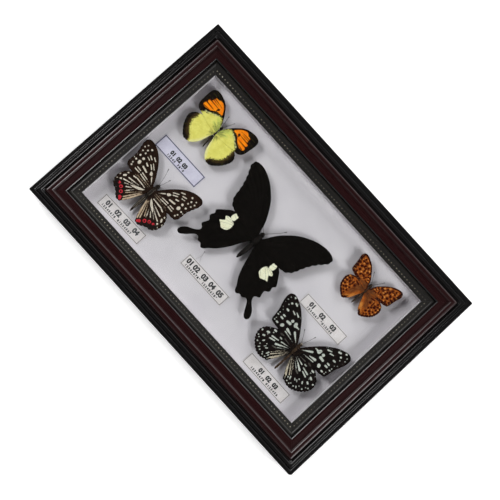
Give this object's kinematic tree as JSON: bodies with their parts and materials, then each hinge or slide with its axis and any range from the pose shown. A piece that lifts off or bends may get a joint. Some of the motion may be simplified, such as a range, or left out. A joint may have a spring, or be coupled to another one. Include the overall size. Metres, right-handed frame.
{
  "type": "framed butterfly specimen",
  "caption": "Landscape shadow-box frame with a stepped mahogany and black moulding, beaded slip and glass front, holding set butterflies above small labels on a white board.",
  "frame": {"origin": "centre of the rear rim, on the plane that the frame rests on when it lies on its back", "axes": "+X along the frame's long side, to the right of the picture; +Y up the picture, towards the butterflies' heads; +Z out of the glass"},
  "size_m": [0.382, 0.252, 0.03],
  "materials": {
    "moulding": "mahogany stain with black-painted outer beads, satin lacquer",
    "slip": "dark pewter-grey paint, satin",
    "glass": "clear float glass",
    "foam_board": "matte white paper face",
    "fibreboard": "raw pressed fibreboard",
    "steel": "bright zinc-plated",
    "orange_tip": "dry scaled wing, yellow and black with an orange tip",
    "swallowtail": "dry scaled wing, velvet black with a cream patch",
    "fritillary": "dry scaled wing, orange with dark brown spots",
    "red_ring": "dry scaled wing, dark brown with cream streaks and red rings",
    "blue_tiger": "dry scaled wing, black with pale blue-white streaks and spots",
    "lavender_paper": "matte paper with a printed border",
    "cream_paper": "matte paper with a printed border"
  },
  "bodies": {
    "root": {"rail_top": "moulding", "rail_bottom": "moulding", "rail_left": "moulding", "rail_right": "moulding", "slip_top": "slip", "slip_bottom": "slip", "slip_left": "slip", "slip_right": "slip", "glass_pane": "glass", "spacer_top": "foam_board", "spacer_bottom": "foam_board", "spacer_left": "foam_board", "spacer_right": "foam_board", "mount_board": "foam_board", "backing_board": "fibreboard", "retaining_tab_1": "steel", "retaining_tab_2": "steel", "retaining_tab_3": "steel", "retaining_tab_4": "steel", "retaining_tab_5": "steel", "retaining_tab_6": "steel", "retaining_tab_7": "steel", "retaining_tab_8": "steel", "hanger_plate": "steel", "hanger_screw_left": "steel", "hanger_screw_right": "steel", "butterfly_orange_tip": "orange_tip", "butterfly_swallowtail": "swallowtail", "butterfly_fritillary": "fritillary", "butterfly_red_ring": "red_ring", "butterfly_blue_tiger": "blue_tiger", "label_orange_tip": "lavender_paper", "label_swallowtail": "cream_paper", "label_fritillary": "cream_paper", "label_red_ring": "cream_paper", "label_blue_tiger": "cream_paper"}
  },
  "joints": []
}
